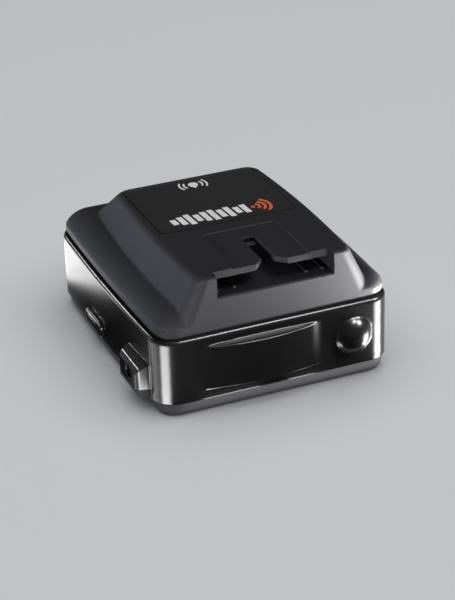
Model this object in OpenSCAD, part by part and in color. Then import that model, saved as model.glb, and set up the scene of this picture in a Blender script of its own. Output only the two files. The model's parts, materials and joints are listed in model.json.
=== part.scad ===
// Windscreen radar detector with a horn antenna, a laser receiver and a GPS receiver.
// Origin: middle of the underside. The road is towards -Y, the driver towards +Y.

/* [Body] */
// Greatest width of the glossy band, at the middle of its bowed sides
body_w = 74; // [74:0.5:76]
// Depth of the body, from the front window to the rear wall
body_d = 88; // [88:0.5:89]
// Height of the flat top above the underside
body_h = 41.5; // [41.5:0.25:42]
// How far the sides draw in at the front and the rear
side_bow = 1.1; // [0.8:0.1:1.3]
// Plan radius of the two front corners
front_r = 7; // [6.5:0.5:7.5]
// Plan radius of the two rear corners
rear_r = 9; // [8.5:0.5:9.5]
// Height of the seam between the bottom cover and the band
seam_z = 4.3; // [4.2:0.1:4.4]
// Height of the top edge of the band
band_z = 24.4; // [24.2:0.1:24.6]
// Height of the crown of the shoulder round the hump
shoulder_z = 31.8; // [31.6:0.1:32]
// Thickness of the moulded walls
wall = 2; // [1.9:0.05:2.1]

/* [Bracket pocket] */
// Width of the pocket that the windscreen bracket slides into
pocket_w = 35.7; // [35:0.1:36]
// Height of the pocket's floor above the underside
pocket_floor_z = 35; // [34.8:0.1:35.2]
// Thickness of the two lips over the pocket
lip_t = 2.1; // [2:0.05:2.2]
// How far the pocket runs in under the lips
pocket_depth = 24; // [22:0.5:25]
// Width of the slot between the lips
slot_w = 3.8; // [3.4:0.1:4.2]

/* [Front window] */
// Width of the bulge in front of the horn
bulge_w = 38; // [36:0.5:39]
// Height of the bulge
bulge_h = 13.6; // [13:0.2:14]
// How far the bulge stands out
bulge_out = 2.5; // [2:0.1:2.8]
// Base radius of the laser dome
dome_r = 5.8; // [5.5:0.1:6]
// How far the dome stands out
dome_out = 3.4; // [3:0.1:3.5]

/* [Controls and sockets] */
// Width of a rear key
key_w = 7.6; // [7:0.1:7.8]
// Length of a rear key down the slope
key_l = 4.6; // [4.2:0.1:4.8]
// Distance between neighbouring rear keys
key_pitch = 9.4; // [9.4:0.05:9.5]
// Length of the volume rocker
rocker_l = 14.4; // [14:0.1:14.6]
// Height of the volume rocker
rocker_h = 5.4; // [5.2:0.1:5.5]
// Bore radius of the power socket
jack_r = 1.8; // [1.7:0.05:1.9]
// Radius of the power socket's centre pin
jack_pin_r = 0.65; // [0.6:0.01:0.7]

/* [Hidden] */

slit = 0.1;                                    // visible gap at a seam between shells
front_y = -body_d / 2;
back_y = body_d / 2;
lap_in = wall + 0.15;                          // inset of the tongues that locate the shells
lap_out = wall + 1.3;
lap_h = 2;
window_y = front_y + front_r;                  // where the front window meets the band

// Top cover: rim, shoulder and hump
rim_z = band_z + 1.2;
rim_inset = 1.6;
rim_front_inset = 0.7;
shoulder_inset = [0, 0, 0.5, 1.6, 3.2, 5, 7];
shoulder_drop = [shoulder_z - rim_z, 4.4, 3.5, 2.4, 1.4, 0.6, 0];
hump_front_y = front_y + rim_front_inset;
hump_mid_y = -12;
hump_bow = 0.0013;
plateau_x = 24.2;
plateau_back_y = 23.7;
side_lean = 0.492;
back_lean = 1.114;
edge_drop = 2.2;
foot_z = 28.3;
slope_foot = [plateau_back_y + back_lean * (body_h - foot_z), foot_z];
slope_head = [plateau_back_y + back_lean * edge_drop, body_h - edge_drop];
slope_mid = 0.38 * slope_foot + 0.62 * slope_head;
slope_angle = atan(1 / back_lean);

// Top details
label_x = 42.9;
label_y = [-10.9, 21.8];
label_step = 0.4;
pad_x = 23;
pad_back_y = -16.6;
pad_step = 0.3;
lip_front_y = front_y + 3.4;
slot_back_y = front_y + 21.3;
lip_chamfer = 3.2;
lip_under_z = body_h - lip_t;

// Front details
bulge_x = -4.8;
bulge_z = 14.4;
dome_x = 23.5;
dome_z = 14.3;

// Side details
jack_y = -29.5;
jack_z = 10.4;
boss_out = 3.2;
boss_y = [-36.3, -21.4];
rocker_y = 7.6;
rocker_z = 7.95;
rocker_out = 1.3;
rocker_gap = 0.4;
pivot_x = -body_w / 2 + 4.8;
pin_r = 0.7;
usb_y = -4;
usb_w = 7.8;
usb_h = 4;

// Inside
board_z = 6;
board_t = 1.6;
deck_z = board_z + board_t;
case_screw_xy = [[-28.5, -15], [28.5, -15], [-28, 31], [28, 31]];
board_screw_xy = [[21, -22], [-22, 2], [-20, 29], [29, 5]];
join_z = 12;                                   // where the cover's bosses meet
speaker_xy = [8, 16];
speaker_r = 14;
keys_x = [for (i = [-1.5:1:1.5]) i * key_pitch];
display_x = 22.5;
display_z = [8.2, 20.6];
horn_front_y = front_y + 3.7;
horn_back_y = -8;
horn_z = [8.2, 22.6];
gps_y = 5.5;

// ---- outlines -------------------------------------------------------------

function unit(v) = v / norm(v);

function arc(cx, cy, r, a0, a1, n) =
    [for (i = [0:n]) let (a = a0 + (a1 - a0) * i / n) [cx + r * cos(a), cy + r * sin(a)]];

function side_x(y) = body_w / 2 - side_bow * pow(2 * y / body_d, 2);

// Plan outline with bowed sides between the wall insets given, with front and rear corner radii
function outline(inset, front_inset, rf, rb) =
    let (fy = front_y + front_inset + rf, by = back_y - inset - rb,
         fx = side_x(fy) - inset - rf, bx = side_x(by) - inset - rb,
         side = [for (i = [1:5]) let (y = fy + (by - fy) * i / 6) [side_x(y) - inset, y]])
    concat(arc(fx, fy, rf, -90, 0, 6), side, arc(bx, by, rb, 0, 90, 8),
           arc(-bx, by, rb, 90, 180, 8), [for (i = [4:-1:0]) [-side[i][0], side[i][1]]],
           arc(-fx, fy, rf, 180, 270, 6));

// Plan outline of the body, drawn in by inset
function body_outline(inset) = outline(inset, inset, max(front_r - inset, 0.8), max(rear_r - inset, 0.8));

// Plan outline of the top cover's rim and shoulder, drawn in by inset from the rim
function cover_outline(inset) = outline(rim_inset + inset, rim_front_inset + inset * 0.9,
    max(front_r - 1 - inset * 0.4, 3.2), max(rear_r - 1 - inset * 0.4, 4));

// Plan outline of the hump, half wide at its widest
function hump_outline(half, front, back, rf, rb) =
    let (fy = front + rf, by = back - rb,
         fx = half - hump_bow * pow(fy - hump_mid_y, 2), bx = half - hump_bow * pow(by - hump_mid_y, 2),
         side = [for (i = [1:4]) let (y = fy + (by - fy) * i / 5) [half - hump_bow * pow(y - hump_mid_y, 2), y]])
    concat(arc(fx - rf, fy, rf, -90, 0, 6), side, arc(bx - rb, by, rb, 0, 90, 6),
           arc(rb - bx, by, rb, 90, 180, 6), [for (i = [3:-1:0]) [-side[i][0], side[i][1]]],
           arc(rf - fx, fy, rf, 180, 270, 6));

function rounded(w, h, r) =
    concat(arc(w / 2 - r, -h / 2 + r, r, -90, 0, 4), arc(w / 2 - r, h / 2 - r, r, 0, 90, 4),
           arc(r - w / 2, h / 2 - r, r, 90, 180, 4), arc(r - w / 2, -h / 2 + r, r, 180, 270, 4));

function lifted(outline, z) = [for (p = outline) [p[0], p[1], z]];

// Closed skin over a stack of rings that all have the same number of points
module loft(rings) {
    n = len(rings[0]);
    m = len(rings);
    polyhedron(points = [for (r = rings) each r], faces = concat(
        [[for (i = [0:n - 1]) i]], [[for (i = [n - 1:-1:0]) (m - 1) * n + i]],
        [for (k = [0:m - 2]) for (i = [0:n - 1])
            [k * n + i, (k + 1) * n + i, (k + 1) * n + (i + 1) % n, k * n + (i + 1) % n]]));
}

// The body's outline drawn in by levels[i][0] at the height levels[i][1]
module body_loft(levels) loft([for (l = levels) lifted(body_outline(l[0]), l[1])]);

module ring(outer, inner, z0, z1) translate([0, 0, z0]) linear_extrude(z1 - z0)
    difference() {
        polygon(body_outline(outer));
        polygon(body_outline(inner));
    }

module block(x, y, z) translate([x[0], y[0], z[0]]) cube([x[1] - x[0], y[1] - y[0], z[1] - z[0]]);

module tube(r1, r0, h) difference() {
    cylinder(r = r1, h = h, $fn = 48);
    translate([0, 0, -1]) cylinder(r = r0, h = h + 2, $fn = 48);
}

module on_slope() translate([0, slope_mid[0], slope_mid[1]]) rotate([-slope_angle, 0, 0]) children();

function along(points, i) = unit(points[min(i + 1, len(points) - 1)] - points[max(i - 1, 0)]);

function shifted(points, d) =
    [for (i = [0:len(points) - 1]) let (t = along(points, i)) points[i] + d * [-t[1], t[0]]];

// A round wire along a list of points, never parallel to the vector across
module wire(points, r, across) loft([for (i = [0:len(points) - 1])
    let (t = along(points, i), u = unit(cross(t, across)), v = cross(t, u))
    [for (a = [0:45:315]) points[i] + r * (cos(a) * u + sin(a) * v)]]);

// A flat ribbon between two values of x, along a list of [y, z] points
module ribbon(points, x, t) translate([x[0], 0, 0]) rotate([90, 0, 90]) linear_extrude(x[1] - x[0])
    polygon(concat(shifted(points, -t / 2), [for (i = [1:len(points)]) shifted(points, t / 2)[len(points) - i]]));

// ---- shells ---------------------------------------------------------------

// Outer shape of the jack boss on the left wall
module jack_boss() hull() {
    block([-body_w / 2 - boss_out, -body_w / 2], [boss_y[0] + 1.6, boss_y[1] - 0.7], [6, 12]);
    block([-body_w / 2 - boss_out + 0.9, -body_w / 2], [boss_y[0] + 0.6, boss_y[1] - 0.1], [4.9, 13.6]);
    block([-body_w / 2 + 0.3, -body_w / 2 + 1.2], [boss_y[0], boss_y[1] + 0.4], [4.8, 15]);
}

boss_split_z = 7.1;
boss_notch = [boss_y[0] + 0.8, boss_y[1] - 0.8];

module screw_posts() for (p = case_screw_xy) translate([p[0], p[1], 0]) cylinder(r = 3.2, h = join_z, $fn = 40);

module bottom_cover() color([0.03, 0.03, 0.032]) {
    difference() {
        union() {
            difference() {
                body_loft([[3.4, 0], [2, 0.5], [1.3, 1.4], [0.9, 2.8], [0.9, seam_z]]);
                translate([0, 0, wall]) linear_extrude(seam_z) polygon(body_outline(wall + 0.9));
            }
            ring(lap_in, lap_out, wall, seam_z + lap_h);
            difference() {
                intersection() {
                    union() {
                        jack_boss();
                        ring(0, lap_in + 0.2, seam_z - 1, boss_split_z);
                    }
                    block([-50, -30], boss_notch, [seam_z - 1, boss_split_z - slit]);
                }
                block([-body_w / 2 - 2.1, -30], [jack_y - 4.8, jack_y + 4.8], [boss_split_z - 1, 20]);
            }
            screw_posts();
            for (p = board_screw_xy) translate([p[0], p[1], 1]) cylinder(r = 2.2, h = board_z - 1, $fn = 32);
            translate([speaker_xy[0], speaker_xy[1], 1]) tube(speaker_r + 1.2, speaker_r + 0.2, 4);
        }
        for (p = case_screw_xy) translate([p[0], p[1], 0]) {
            translate([0, 0, -1]) cylinder(r = 2.6, h = 4, $fn = 40);
            cylinder(r = 1.2, h = join_z + 1, $fn = 32);
        }
        for (p = board_screw_xy) translate([p[0], p[1], 2.8]) cylinder(r = 0.85, h = 5, $fn = 24);
        for (i = [-3:3]) let (half = sqrt(pow(speaker_r - 4, 2) - pow(3 * i, 2)))
            translate([speaker_xy[0] + 3 * i, speaker_xy[1], -1]) linear_extrude(wall + 2)
                polygon(rounded(1.4, 2 * half, 0.6));
        translate([-2, -24, -1]) linear_extrude(1.3) polygon(rounded(40.4, 16.4, 1.2));
        block([-40, -30], [-2, 17.2], [seam_z - 0.01, 8]);
    }
}

module side_band() color([0.012, 0.012, 0.014]) difference() {
    union() {
        difference() {
            union() {
                ring(0, wall, seam_z, band_z);
                difference() {
                    jack_boss();
                    block([-50, 0], [-50, 0], [0, seam_z]);
                }
            }
            block([-50, 50], [-60, window_y + slit], [0, 40]);
            block([-50, -30], [boss_notch[0] - slit, boss_notch[1] + slit], [0, boss_split_z]);
            block([-body_w / 2 - 2.15, 0], [jack_y - 4.7, jack_y + 4.7], [0, 13.4]);
            block([-body_w / 2 + wall, 0], [-50, 0], [0, 40]);
        }
        for (z = [[seam_z, 5], [10.9, 12.4]])
            block([-body_w / 2 + 1, pivot_x + 1.6], [rocker_y - 1.7, rocker_y + 1.7], z);
    }
    translate([0, 0, rocker_z]) block([-50, -body_w / 2 + wall + 0.5],
        [rocker_y - rocker_l / 2 - rocker_gap, rocker_y + rocker_l / 2 + rocker_gap],
        [-rocker_h / 2 - 0.3, rocker_h / 2 + 0.3]);
    translate([pivot_x, rocker_y, 0]) cylinder(r = pin_r, h = 20, $fn = 32);
    translate([-50, jack_y, jack_z]) rotate([0, 90, 0]) cylinder(r = 2.1, h = 14, $fn = 40);
    block([30, 50], [usb_y - usb_w / 2 - 0.2, usb_y + usb_w / 2 + 0.2], [deck_z - 0.2, deck_z + usb_h + 0.2]);
    block([-display_x, display_x], [40, 50], display_z);
}

module front_window() color([0.01, 0.008, 0.01]) {
    sphere_r = (dome_r * dome_r + dome_out * dome_out) / (2 * dome_out);
    lens_r = (bulge_w * bulge_w / 4 + bulge_out * bulge_out) / (2 * bulge_out);
    dome_y = front_y - dome_out + sphere_r;
    difference() {
        union() {
            ring(0, wall, seam_z, band_z);
            translate([0, 0, bulge_z - bulge_h / 2]) linear_extrude(bulge_h) intersection() {
                translate([bulge_x, front_y - bulge_out + lens_r]) circle(r = lens_r, $fn = 180);
                translate([bulge_x - bulge_w / 2, front_y - bulge_out]) square([bulge_w, bulge_out + 0.5]);
            }
            intersection() {
                translate([dome_x, dome_y, dome_z]) sphere(r = sphere_r, $fn = 64);
                block([0, 40], [front_y - 9, front_y + 0.5], [0, 30]);
            }
        }
        translate([dome_x, dome_y, dome_z]) sphere(r = sphere_r - 1.8, $fn = 64);
        block([-50, 50], [window_y, 60], [0, 40]);
    }
    for (x = [[-50, -28], [28, 50]]) {
        intersection() {
            ring(wall - 0.1, lap_out - 0.1, 7, 21.5);
            block(x, [window_y - 6, window_y], [0, 30]);
        }
        intersection() {
            ring(wall + 0.05, lap_out - 0.1, 7, 21.5);
            block(x, [window_y - 0.1, window_y + 2.5], [0, 30]);
        }
    }
}

// Rim and shoulder, drawn in and down by drop
module shoulder_shape(drop) loft([for (i = [0:len(shoulder_inset) - 1])
    lifted(cover_outline(shoulder_inset[i] + drop), shoulder_z - shoulder_drop[i] - drop)]);

// Hump, drawn in and down by drop
module hump_shape(drop) {
    edge = [[edge_drop, 0, 0], [1, 0.45, 0.15], [0.4, 1, 0.5], [0, 2, 1.1]];
    foot = body_h - foot_z;
    loft(concat(
        [lifted(hump_outline(plateau_x + side_lean * foot - drop, hump_front_y + drop,
                             slope_foot[0] - drop * 0.4, 5.2 - drop, 6 - drop), foot_z - drop)],
        [for (e = edge) lifted(hump_outline(plateau_x + side_lean * e[0] - e[1] - drop, hump_front_y + e[2] + drop,
            plateau_back_y + back_lean * e[0] - e[1] * 0.8 - drop * 0.4, 4.5 - drop - e[1] * 0.5, 4.5 - drop - e[1] * 0.5),
            body_h - e[0] - drop)]));
}

module top_cover() color([0.035, 0.035, 0.038]) {
    lip_z = [lip_under_z, body_h + 1];
    difference() {
        union() {
            difference() {
                union() {
                    shoulder_shape(0);
                    hump_shape(0);
                }
                shoulder_shape(wall);
                hump_shape(wall);
            }
            ring(lap_in, lap_out + 0.4, band_z - lap_h, rim_z + 1);
            for (p = case_screw_xy)
                translate([p[0], p[1], join_z + slit]) cylinder(r = 3, h = shoulder_z - 1.2 - join_z, $fn = 40);
            block([-pocket_w / 2 - 1.5, pocket_w / 2 + 1.5], [hump_front_y + 0.6, lip_front_y + pocket_depth + 1.5],
                  [pocket_floor_z - 1.5, body_h - 1]);
            on_slope() for (s = [-1, 1]) translate([s * 20.1, 0, -6.7]) cylinder(r = 1.3, h = 5.6, $fn = 24);
        }
        // Bracket pocket, its open front and the slot between the lips
        block([-pocket_w / 2, pocket_w / 2], [front_y - 5, lip_front_y + pocket_depth], [pocket_floor_z, lip_under_z]);
        block([-pocket_w / 2, pocket_w / 2], [front_y - 5, lip_front_y], [pocket_floor_z, body_h + 1]);
        translate([0, 0, lip_under_z - 0.5]) linear_extrude(4) polygon(concat(
            [[slot_w / 2 + lip_chamfer, lip_front_y - 0.1], [slot_w / 2, lip_front_y + lip_chamfer]],
            arc(slot_w / 2 - 0.6, slot_back_y - 0.6, 0.6, 0, 90, 3), arc(0.6 - slot_w / 2, slot_back_y - 0.6, 0.6, 90, 180, 3),
            [[-slot_w / 2, lip_front_y + lip_chamfer], [-slot_w / 2 - lip_chamfer, lip_front_y - 0.1]]));
        // Shallow pad round the slot and the label's recess
        translate([0, 0, body_h - pad_step]) linear_extrude(2) polygon(concat(
            [[-pad_x / 2, front_y - 5], [pad_x / 2, front_y - 5]],
            arc(pad_x / 2 - 1.6, pad_back_y - 1.6, 1.6, 0, 90, 4), arc(1.6 - pad_x / 2, pad_back_y - 1.6, 1.6, 90, 180, 4)));
        translate([0, (label_y[0] + label_y[1]) / 2, body_h - label_step]) linear_extrude(2)
            polygon(rounded(label_x, label_y[1] - label_y[0], 1.6));
        on_slope() {
            for (x = keys_x) translate([x, 0, -6]) linear_extrude(12) polygon(rounded(key_w + 0.5, key_l + 0.5, 1.2));
            for (s = [-1, 1]) translate([s * 20.1, 0, -7]) cylinder(r = 0.65, h = 4.5, $fn = 20);
        }
        for (p = case_screw_xy) translate([p[0], p[1], join_z - 1]) cylinder(r = 1, h = 13, $fn = 32);
    }
    // Guide ribs on the pocket's floor
    for (x = [-16, -11, 11, 16]) translate([x, lip_front_y + 1, pocket_floor_z])
        rotate([-90, 0, 0]) cylinder(r = 0.3, h = pocket_depth - 3, $fn = 20);
}

module display_window() color([0.006, 0.006, 0.008]) {
    block([-display_x + slit, display_x - slit], [back_y - wall - 0.05, back_y],
          [display_z[0] + slit, display_z[1] - slit]);
    block([-display_x - 1.5, display_x + 1.5], [back_y - wall - 1, back_y - wall - 0.05],
          [display_z[0] - 1.2, display_z[1] + 1.2]);
}

module top_label() color([0.02, 0.02, 0.022])
    translate([0, (label_y[0] + label_y[1]) / 2, body_h - label_step]) linear_extrude(0.25)
        polygon(rounded(label_x - 0.4, label_y[1] - label_y[0] - 0.4, 1.4));

module rating_label() color([0.75, 0.76, 0.78])
    translate([-2, -24, 0.15]) linear_extrude(0.15) polygon(rounded(40, 16, 1));

module case_screws() color([0.55, 0.56, 0.58]) for (p = case_screw_xy) translate([p[0], p[1], 0]) {
    difference() {
        translate([0, 0, 1.3]) cylinder(r = 2.3, h = 1.7, $fn = 40);
        for (a = [0, 90]) rotate(a) translate([-1.4, -0.25, 0]) cube([2.8, 0.5, 2.2]);
    }
    translate([0, 0, 2.9]) cylinder(r = 0.98, h = 17, $fn = 32);
}

// ---- main board -----------------------------------------------------------

module main_board() color([0.02, 0.22, 0.1]) {
    x = body_w / 2 - 4.7;
    translate([0, 0, board_z]) linear_extrude(board_t) difference() {
        polygon([[-x + 2, front_y + 7.2], [x - 2, front_y + 7.2], [x, front_y + 9.2], [x, 30], [x - 6, 35.4],
                 [-x + 6, 35.4], [-x, 30], [-x, 17.8], [-29.8, 17.8], [-29.8, -2.6], [-x, -2.6], [-x, front_y + 9.2]]);
        for (p = case_screw_xy) translate(p) circle(r = 3.5, $fn = 40);
        for (p = board_screw_xy) translate(p) circle(r = 1.1, $fn = 24);
        translate(speaker_xy) circle(r = speaker_r + 1.4, $fn = 72);
    }
}

module board_screws() color([0.6, 0.6, 0.62]) for (p = board_screw_xy) translate([p[0], p[1], 0]) {
    difference() {
        translate([0, 0, deck_z]) cylinder(r = 1.8, h = 1.2, $fn = 32);
        for (a = [0, 90]) rotate(a) translate([-1, -0.2, deck_z + 0.6]) cube([2, 0.4, 2]);
    }
    translate([0, 0, 3]) cylinder(r = 0.83, h = deck_z - 2.9, $fn = 24);
}

module board_chips() color([0.05, 0.05, 0.055]) {
    for (c = [[-14, 13, 10, 10, 1.4], [-21, 22, 6, 5, 1.5], [-12, 23.5, 8, 6, 1.6], [22, -12, 6, 6, 3],
              [-22, 13.5, 4, 4, 1.4]])
        translate([c[0] - c[2] / 2, c[1] - c[3] / 2, deck_z]) cube([c[2], c[3], c[4]]);
}

module capacitors() color([0.35, 0.36, 0.4]) for (p = [[23, -4], [17, -5.5]])
    translate([p[0], p[1], deck_z]) cylinder(r = 2.6, h = 7, $fn = 40);

module backup_cell() color([0.7, 0.7, 0.68]) translate([28, 16, deck_z]) cylinder(r = 3.4, h = 2.2, $fn = 48);

// ---- receivers ------------------------------------------------------------

// Pyramid frustum between two upright rectangles, each [x0, x1, z0, z1]
module funnel(mouth, mouth_y, throat, throat_y) hull() {
    block([mouth[0], mouth[1]], [mouth_y, mouth_y + 0.01], [mouth[2], mouth[3]]);
    block([throat[0], throat[1]], [throat_y - 0.01, throat_y], [throat[2], throat[3]]);
}

module horn_antenna() color([0.72, 0.72, 0.7]) {
    mouth = [bulge_x - bulge_w / 2 + 1.2, bulge_x + bulge_w / 2 - 1.2, horn_z[0] + 1.2, horn_z[1] - 1.2];
    throat = [bulge_x - 5.2, bulge_x + 5.2, 13, 18];
    difference() {
        union() {
            funnel([mouth[0] - 1.2, mouth[1] + 1.2, horn_z[0], horn_z[1]], horn_front_y,
                   [throat[0] - 1.5, throat[1] + 1.5, throat[2] - 1.5, throat[3] + 1.5], horn_back_y - 8);
            block([throat[0] - 1.5, throat[1] + 1.5], [horn_back_y - 8.5, horn_back_y], [11.5, 19.5]);
            block([mouth[0] - 1.2, mouth[1] + 1.2], [horn_front_y, horn_front_y + 1.5], horn_z);
            for (x = [-19, 9.4]) block([x, x + 1.6], [-34, -15], [12, horn_z[1]]);
            for (x = [-9, -2]) block([x, x + 1.4], [-36, -12], [deck_z, 12]);
        }
        funnel(mouth, horn_front_y - 0.1, throat, horn_back_y - 8);
        block([throat[0], throat[1]], [horn_back_y - 9, horn_back_y - 1.5], [throat[2], throat[3]]);
    }
}

module microwave_board() color([0.03, 0.2, 0.12]) block([-23, 13], [-38, -9], [horn_z[1] + 0.1, horn_z[1] + 1.2]);

module microwave_shield() color([0.75, 0.75, 0.76]) difference() {
    block([-20, 10], [-35, -13], [horn_z[1] + 1.2, horn_z[1] + 5]);
    block([-19.6, 9.6], [-34.6, -13.4], [horn_z[1] + 1, horn_z[1] + 4.6]);
}

module laser_board() color([0.02, 0.22, 0.1]) block([dome_x - 6.5, dome_x + 7.5], [-36.6, -35.4], [deck_z, 20.4]);

module laser_sensor() color([0.08, 0.03, 0.03]) translate([dome_x, -36.6, dome_z]) {
    translate([-3, -1.8, -3]) cube([6, 1.8, 6]);
    difference() {
        translate([0, -1.8, 0]) sphere(r = 2.4, $fn = 40);
        translate([-5, -1.8, -5]) cube([10, 10, 10]);
    }
}

module gps_tape() color([0.8, 0.8, 0.78]) block([-9, 9], [gps_y - 9, gps_y + 9], [body_h - wall - 0.6, body_h - wall]);

module gps_antenna() color([0.78, 0.7, 0.58]) {
    z = body_h - wall - 4.6;
    block([-12.5, 12.5], [gps_y - 12.5, gps_y + 12.5], [z, z + 4]);
}

module gps_board() color([0.02, 0.2, 0.1]) {
    z = body_h - wall - 5.6;
    block([-13, 13], [gps_y - 13, gps_y + 13], [z, z + 1]);
}

module gps_shield() color([0.75, 0.75, 0.76]) {
    z = body_h - wall - 7.8;
    block([-9, 9], [gps_y - 9, gps_y + 9], [z, z + 2.2]);
}

module gps_cable() color([0.03, 0.03, 0.03]) wire([[-11, gps_y + 6, body_h - wall - 5.6],
    [-11, gps_y + 6, 30], [-15, gps_y + 8, 26], [-21, gps_y + 9, 18], [-22, gps_y + 8.5, 11],
    [-22, gps_y + 8, deck_z + 1.5]], 0.45, [1, 0, 0]);

// ---- speaker --------------------------------------------------------------

module speaker_gasket() color([0.04, 0.04, 0.04])
    translate([speaker_xy[0], speaker_xy[1], wall]) tube(speaker_r, speaker_r - 2.5, 0.6);

module speaker_frame() color([0.5, 0.5, 0.52]) translate([speaker_xy[0], speaker_xy[1], wall + 0.6])
    rotate_extrude($fn = 72) polygon([[speaker_r - 2.5, 0], [speaker_r, 0], [speaker_r, 1], [speaker_r - 1.2, 1],
        [8, 5.2], [4, 5.2], [4, 4.4], [7.6, 4.4], [speaker_r - 2.5, 0.9]]);

module speaker_cone() color([0.12, 0.12, 0.13]) translate([speaker_xy[0], speaker_xy[1], wall + 0.6])
    rotate_extrude($fn = 72) polygon([[0, 2.2], [2.6, 2.6], [speaker_r - 2.6, 0.2], [speaker_r - 2.6, 0.5],
        [3.2, 3], [2.4, 3.9], [2.2, 3.9], [2.2, 2.9], [0, 2.5]]);

module speaker_magnet() color([0.3, 0.3, 0.32])
    translate([speaker_xy[0], speaker_xy[1], wall + 5.8]) cylinder(r = 6.6, h = 3.4, $fn = 60);

module speaker_wires() color([0.6, 0.05, 0.05]) for (dy = [6, 9]) {
    x = speaker_xy[0];
    y = speaker_xy[1] + dy;
    wire([[x - 8.6, y, wall + 6.2], [x - 12, y, 11], [x - 17, y, 11.2], [x - 18.6, y, deck_z + 2.1]], 0.4, [0, 1, 0]);
}

// ---- display --------------------------------------------------------------

module display_panel() color([0.01, 0.02, 0.03]) block([-19, 19], [back_y - 5.1, back_y - 3.4], [8.4, 20.4]);

module display_board() color([0.02, 0.2, 0.1]) block([-21, 21], [back_y - 6.4, back_y - 5.15], [7.8, 21.6]);

module display_ribbon() color([0.5, 0.3, 0.12]) ribbon(
    [[back_y - 6.7, 15], [back_y - 7.6, 14.7], [back_y - 9.6, 12.8], [back_y - 11.2, 9.4], [back_y - 11.8, deck_z + 0.35]],
    [-4.5, 4.5], 0.3);

// ---- rear keys ------------------------------------------------------------

module rear_key(x) on_slope() translate([x, 0, 0]) {
    hull() {
        translate([0, 0, -2.5]) linear_extrude(2.9) polygon(rounded(key_w, key_l, 1));
        translate([0, 0, 0.7]) linear_extrude(0.2) polygon(rounded(key_w - 1, key_l - 1, 0.8));
    }
    translate([0, 0, -3.1]) linear_extrude(0.9) polygon(rounded(key_w + 1.4, key_l + 1.4, 1));
    translate([0, 0, -4.2]) cylinder(r = 1.4, h = 1.5, $fn = 32);
}

module key_plunger(x) on_slope() translate([x, 0, -5.8]) cylinder(r = 0.85, h = 1.6, $fn = 32);

module menu_key() color([0.05, 0.05, 0.055]) rear_key(keys_x[0]);
module city_key() color([0.05, 0.05, 0.055]) rear_key(keys_x[1]);
module dimmer_key() color([0.05, 0.05, 0.055]) rear_key(keys_x[2]);
module mute_key() color([0.05, 0.05, 0.055]) rear_key(keys_x[3]);
module menu_plunger() color([0.15, 0.15, 0.16]) key_plunger(keys_x[0]);
module city_plunger() color([0.15, 0.15, 0.16]) key_plunger(keys_x[1]);
module dimmer_plunger() color([0.15, 0.15, 0.16]) key_plunger(keys_x[2]);
module mute_plunger() color([0.15, 0.15, 0.16]) key_plunger(keys_x[3]);

module key_switches() color([0.6, 0.6, 0.6]) on_slope() for (x = keys_x) difference() {
    translate([x - 2.6, -2.6, -6.7]) cube([5.2, 5.2, 1.5]);
    translate([x, 0, -6.4]) cylinder(r = 0.95, h = 3, $fn = 32);
}

module key_board() color([0.02, 0.2, 0.1]) on_slope() difference() {
    translate([-21.6, -4, -7.8]) cube([43.2, 8, 1.1]);
    for (s = [-1, 1]) translate([s * 20.1, 0, -8]) cylinder(r = 0.8, h = 2, $fn = 24);
}

module key_board_screws() color([0.6, 0.6, 0.62]) on_slope() for (s = [-1, 1]) translate([s * 20.1, 0, 0]) {
    translate([0, 0, -8.8]) cylinder(r = 1.4, h = 1, $fn = 28);
    translate([0, 0, -7.9]) cylinder(r = 0.62, h = 4.6, $fn = 24);
}

module key_ribbon() color([0.5, 0.3, 0.12]) ribbon(
    [[23.6, 27.2], [22, 25.6], [22.6, 20], [24.6, 14], [26.4, deck_z + 2.3]], [-18, -12], 0.3);

// ---- volume rocker --------------------------------------------------------

module volume_rocker() color([0.02, 0.02, 0.022]) translate([0, rocker_y, rocker_z]) difference() {
    outer = -body_w / 2 - rocker_out;
    flange_x = -body_w / 2 + wall + 0.9;
    union() {
        hull() {
            block([outer, flange_x], [-rocker_l / 2 + 1.2, rocker_l / 2 - 1.2], [-rocker_h / 2 + 1.1, rocker_h / 2 - 1.1]);
            block([outer + 0.8, flange_x], [-rocker_l / 2, rocker_l / 2], [-rocker_h / 2, rocker_h / 2]);
        }
        block([flange_x - 0.1, flange_x + 1], [-rocker_l / 2 - 1.2, rocker_l / 2 + 1.2], [-rocker_h / 2, rocker_h / 2]);
        block([flange_x, pivot_x], [-1.5, 1.5], [-rocker_h / 2, rocker_h / 2]);
        translate([pivot_x, 0, -rocker_h / 2]) cylinder(r = 1.5, h = rocker_h, $fn = 40);
        for (s = [-1, 1]) block([flange_x + 0.5, flange_x + 3.2], [s * 6 - 0.8, s * 6 + 0.8], [-1, 1.6]);
    }
    translate([pivot_x, 0, -10]) cylinder(r = pin_r + 0.05, h = 20, $fn = 32);
}

module rocker_pin() color([0.7, 0.7, 0.72]) translate([pivot_x, rocker_y, seam_z]) cylinder(r = pin_r, h = 8.1, $fn = 32);

module rocker_switches() color([0.6, 0.6, 0.6]) for (s = [-1, 1]) translate([-29.6, rocker_y + 6 * s, deck_z]) {
    translate([0, -2, 0]) cube([3.2, 4, 3.4]);
    translate([-0.9, -0.7, 0.4]) cube([1, 1.4, 1.2]);
}

// ---- sockets --------------------------------------------------------------

module power_jack() color([0.04, 0.04, 0.045]) difference() {
    union() {
        block([-body_w / 2 - 2.1, -26], [jack_y - 4.6, jack_y + 4.6], [deck_z, 13.2]);
        for (y = [-3, 3]) translate([-29, jack_y + y, 4.9]) cylinder(r = 0.6, h = 3, $fn = 20);
    }
    translate([-50, jack_y, jack_z]) rotate([0, 90, 0]) cylinder(r = jack_r, h = 20.5, $fn = 48);
    for (y = [-3, 3]) translate([-29, jack_y + y, 4]) cylinder(r = 2, h = deck_z - 4, $fn = 20);
}

module power_jack_pin() color([0.8, 0.76, 0.6])
    translate([-body_w / 2 - 1.2, jack_y, jack_z]) rotate([0, 90, 0]) cylinder(r = jack_pin_r, h = 8.7, $fn = 32);

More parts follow.
